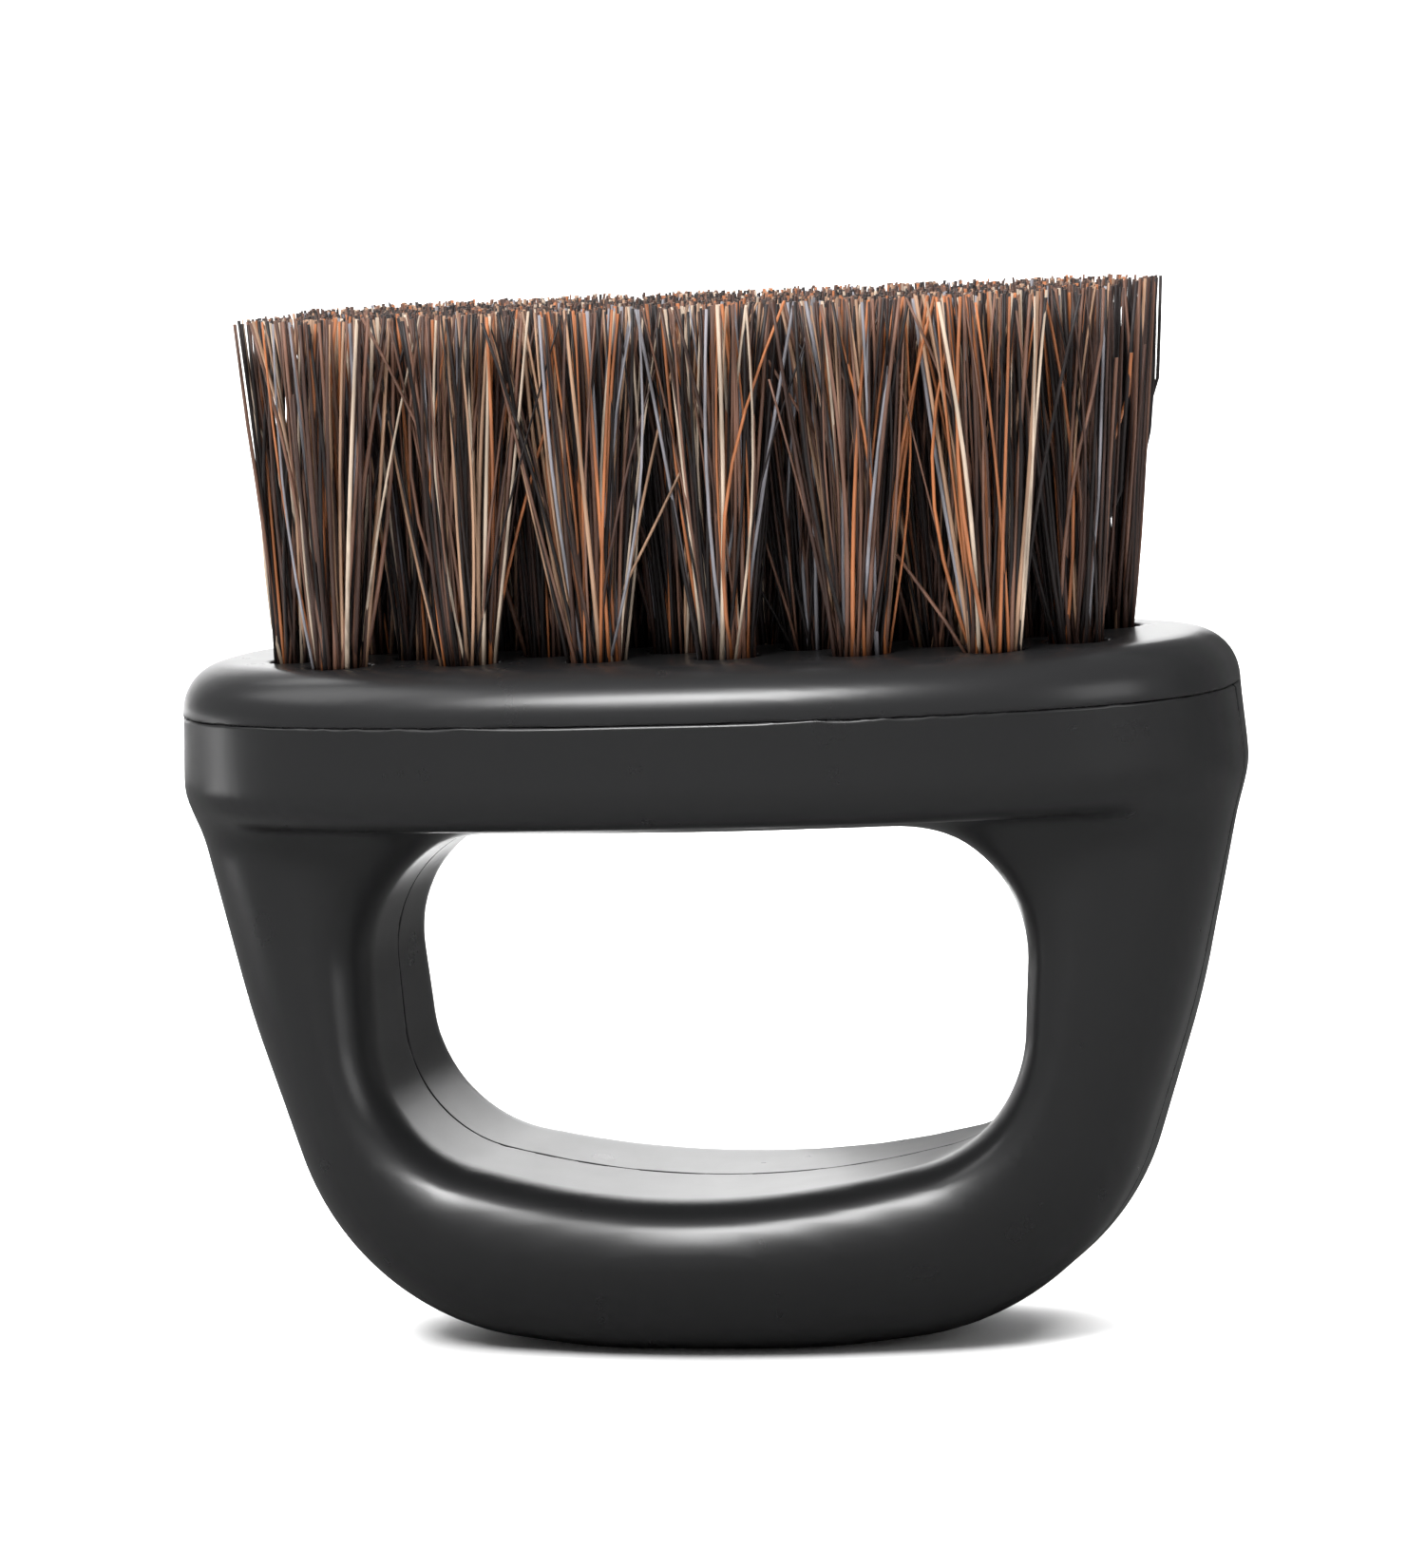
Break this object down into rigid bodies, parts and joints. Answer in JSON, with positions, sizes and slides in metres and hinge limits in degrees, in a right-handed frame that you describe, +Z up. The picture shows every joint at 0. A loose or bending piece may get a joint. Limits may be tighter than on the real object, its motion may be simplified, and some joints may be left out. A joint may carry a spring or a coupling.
{
  "type": "fade brush",
  "caption": "Barber's fade brush: a short wide head packed with mixed hair tufts on a hollow black finger-loop handle.",
  "frame": {"origin": "centre of the foot of the finger loop, on the resting plane", "axes": "+Z up through the hair, X across the width, -Y towards the front face"},
  "size_m": [0.07, 0.035, 0.0684],
  "materials": {
    "shell": "glossy moulded black, fine tool texture",
    "block": "glossy moulded black",
    "hair": "mixed natural hair, black to cream",
    "wire": "flat drawn wire"
  },
  "bodies": {
    "root": {"front_shell": "shell", "rear_shell": "shell", "tuft_block": "block", "tuft_r1_c1": "hair", "tuft_r1_c2": "hair", "tuft_r1_c3": "hair", "tuft_r1_c4": "hair", "tuft_r1_c5": "hair", "tuft_r1_c6": "hair", "anchors_r1": "wire", "tuft_r2_c1": "hair", "tuft_r2_c2": "hair", "tuft_r2_c3": "hair", "tuft_r2_c4": "hair", "tuft_r2_c5": "hair", "tuft_r2_c6": "hair", "tuft_r2_c7": "hair", "anchors_r2": "wire", "tuft_r3_c1": "hair", "tuft_r3_c2": "hair", "tuft_r3_c3": "hair", "tuft_r3_c4": "hair", "tuft_r3_c5": "hair", "tuft_r3_c6": "hair", "anchors_r3": "wire", "tuft_r4_c1": "hair", "tuft_r4_c2": "hair", "tuft_r4_c3": "hair", "tuft_r4_c4": "hair", "tuft_r4_c5": "hair", "tuft_r4_c6": "hair", "tuft_r4_c7": "hair", "anchors_r4": "wire", "tuft_r5_c1": "hair", "tuft_r5_c2": "hair", "tuft_r5_c3": "hair", "tuft_r5_c4": "hair", "tuft_r5_c5": "hair", "tuft_r5_c6": "hair", "anchors_r5": "wire"}
  },
  "joints": []
}
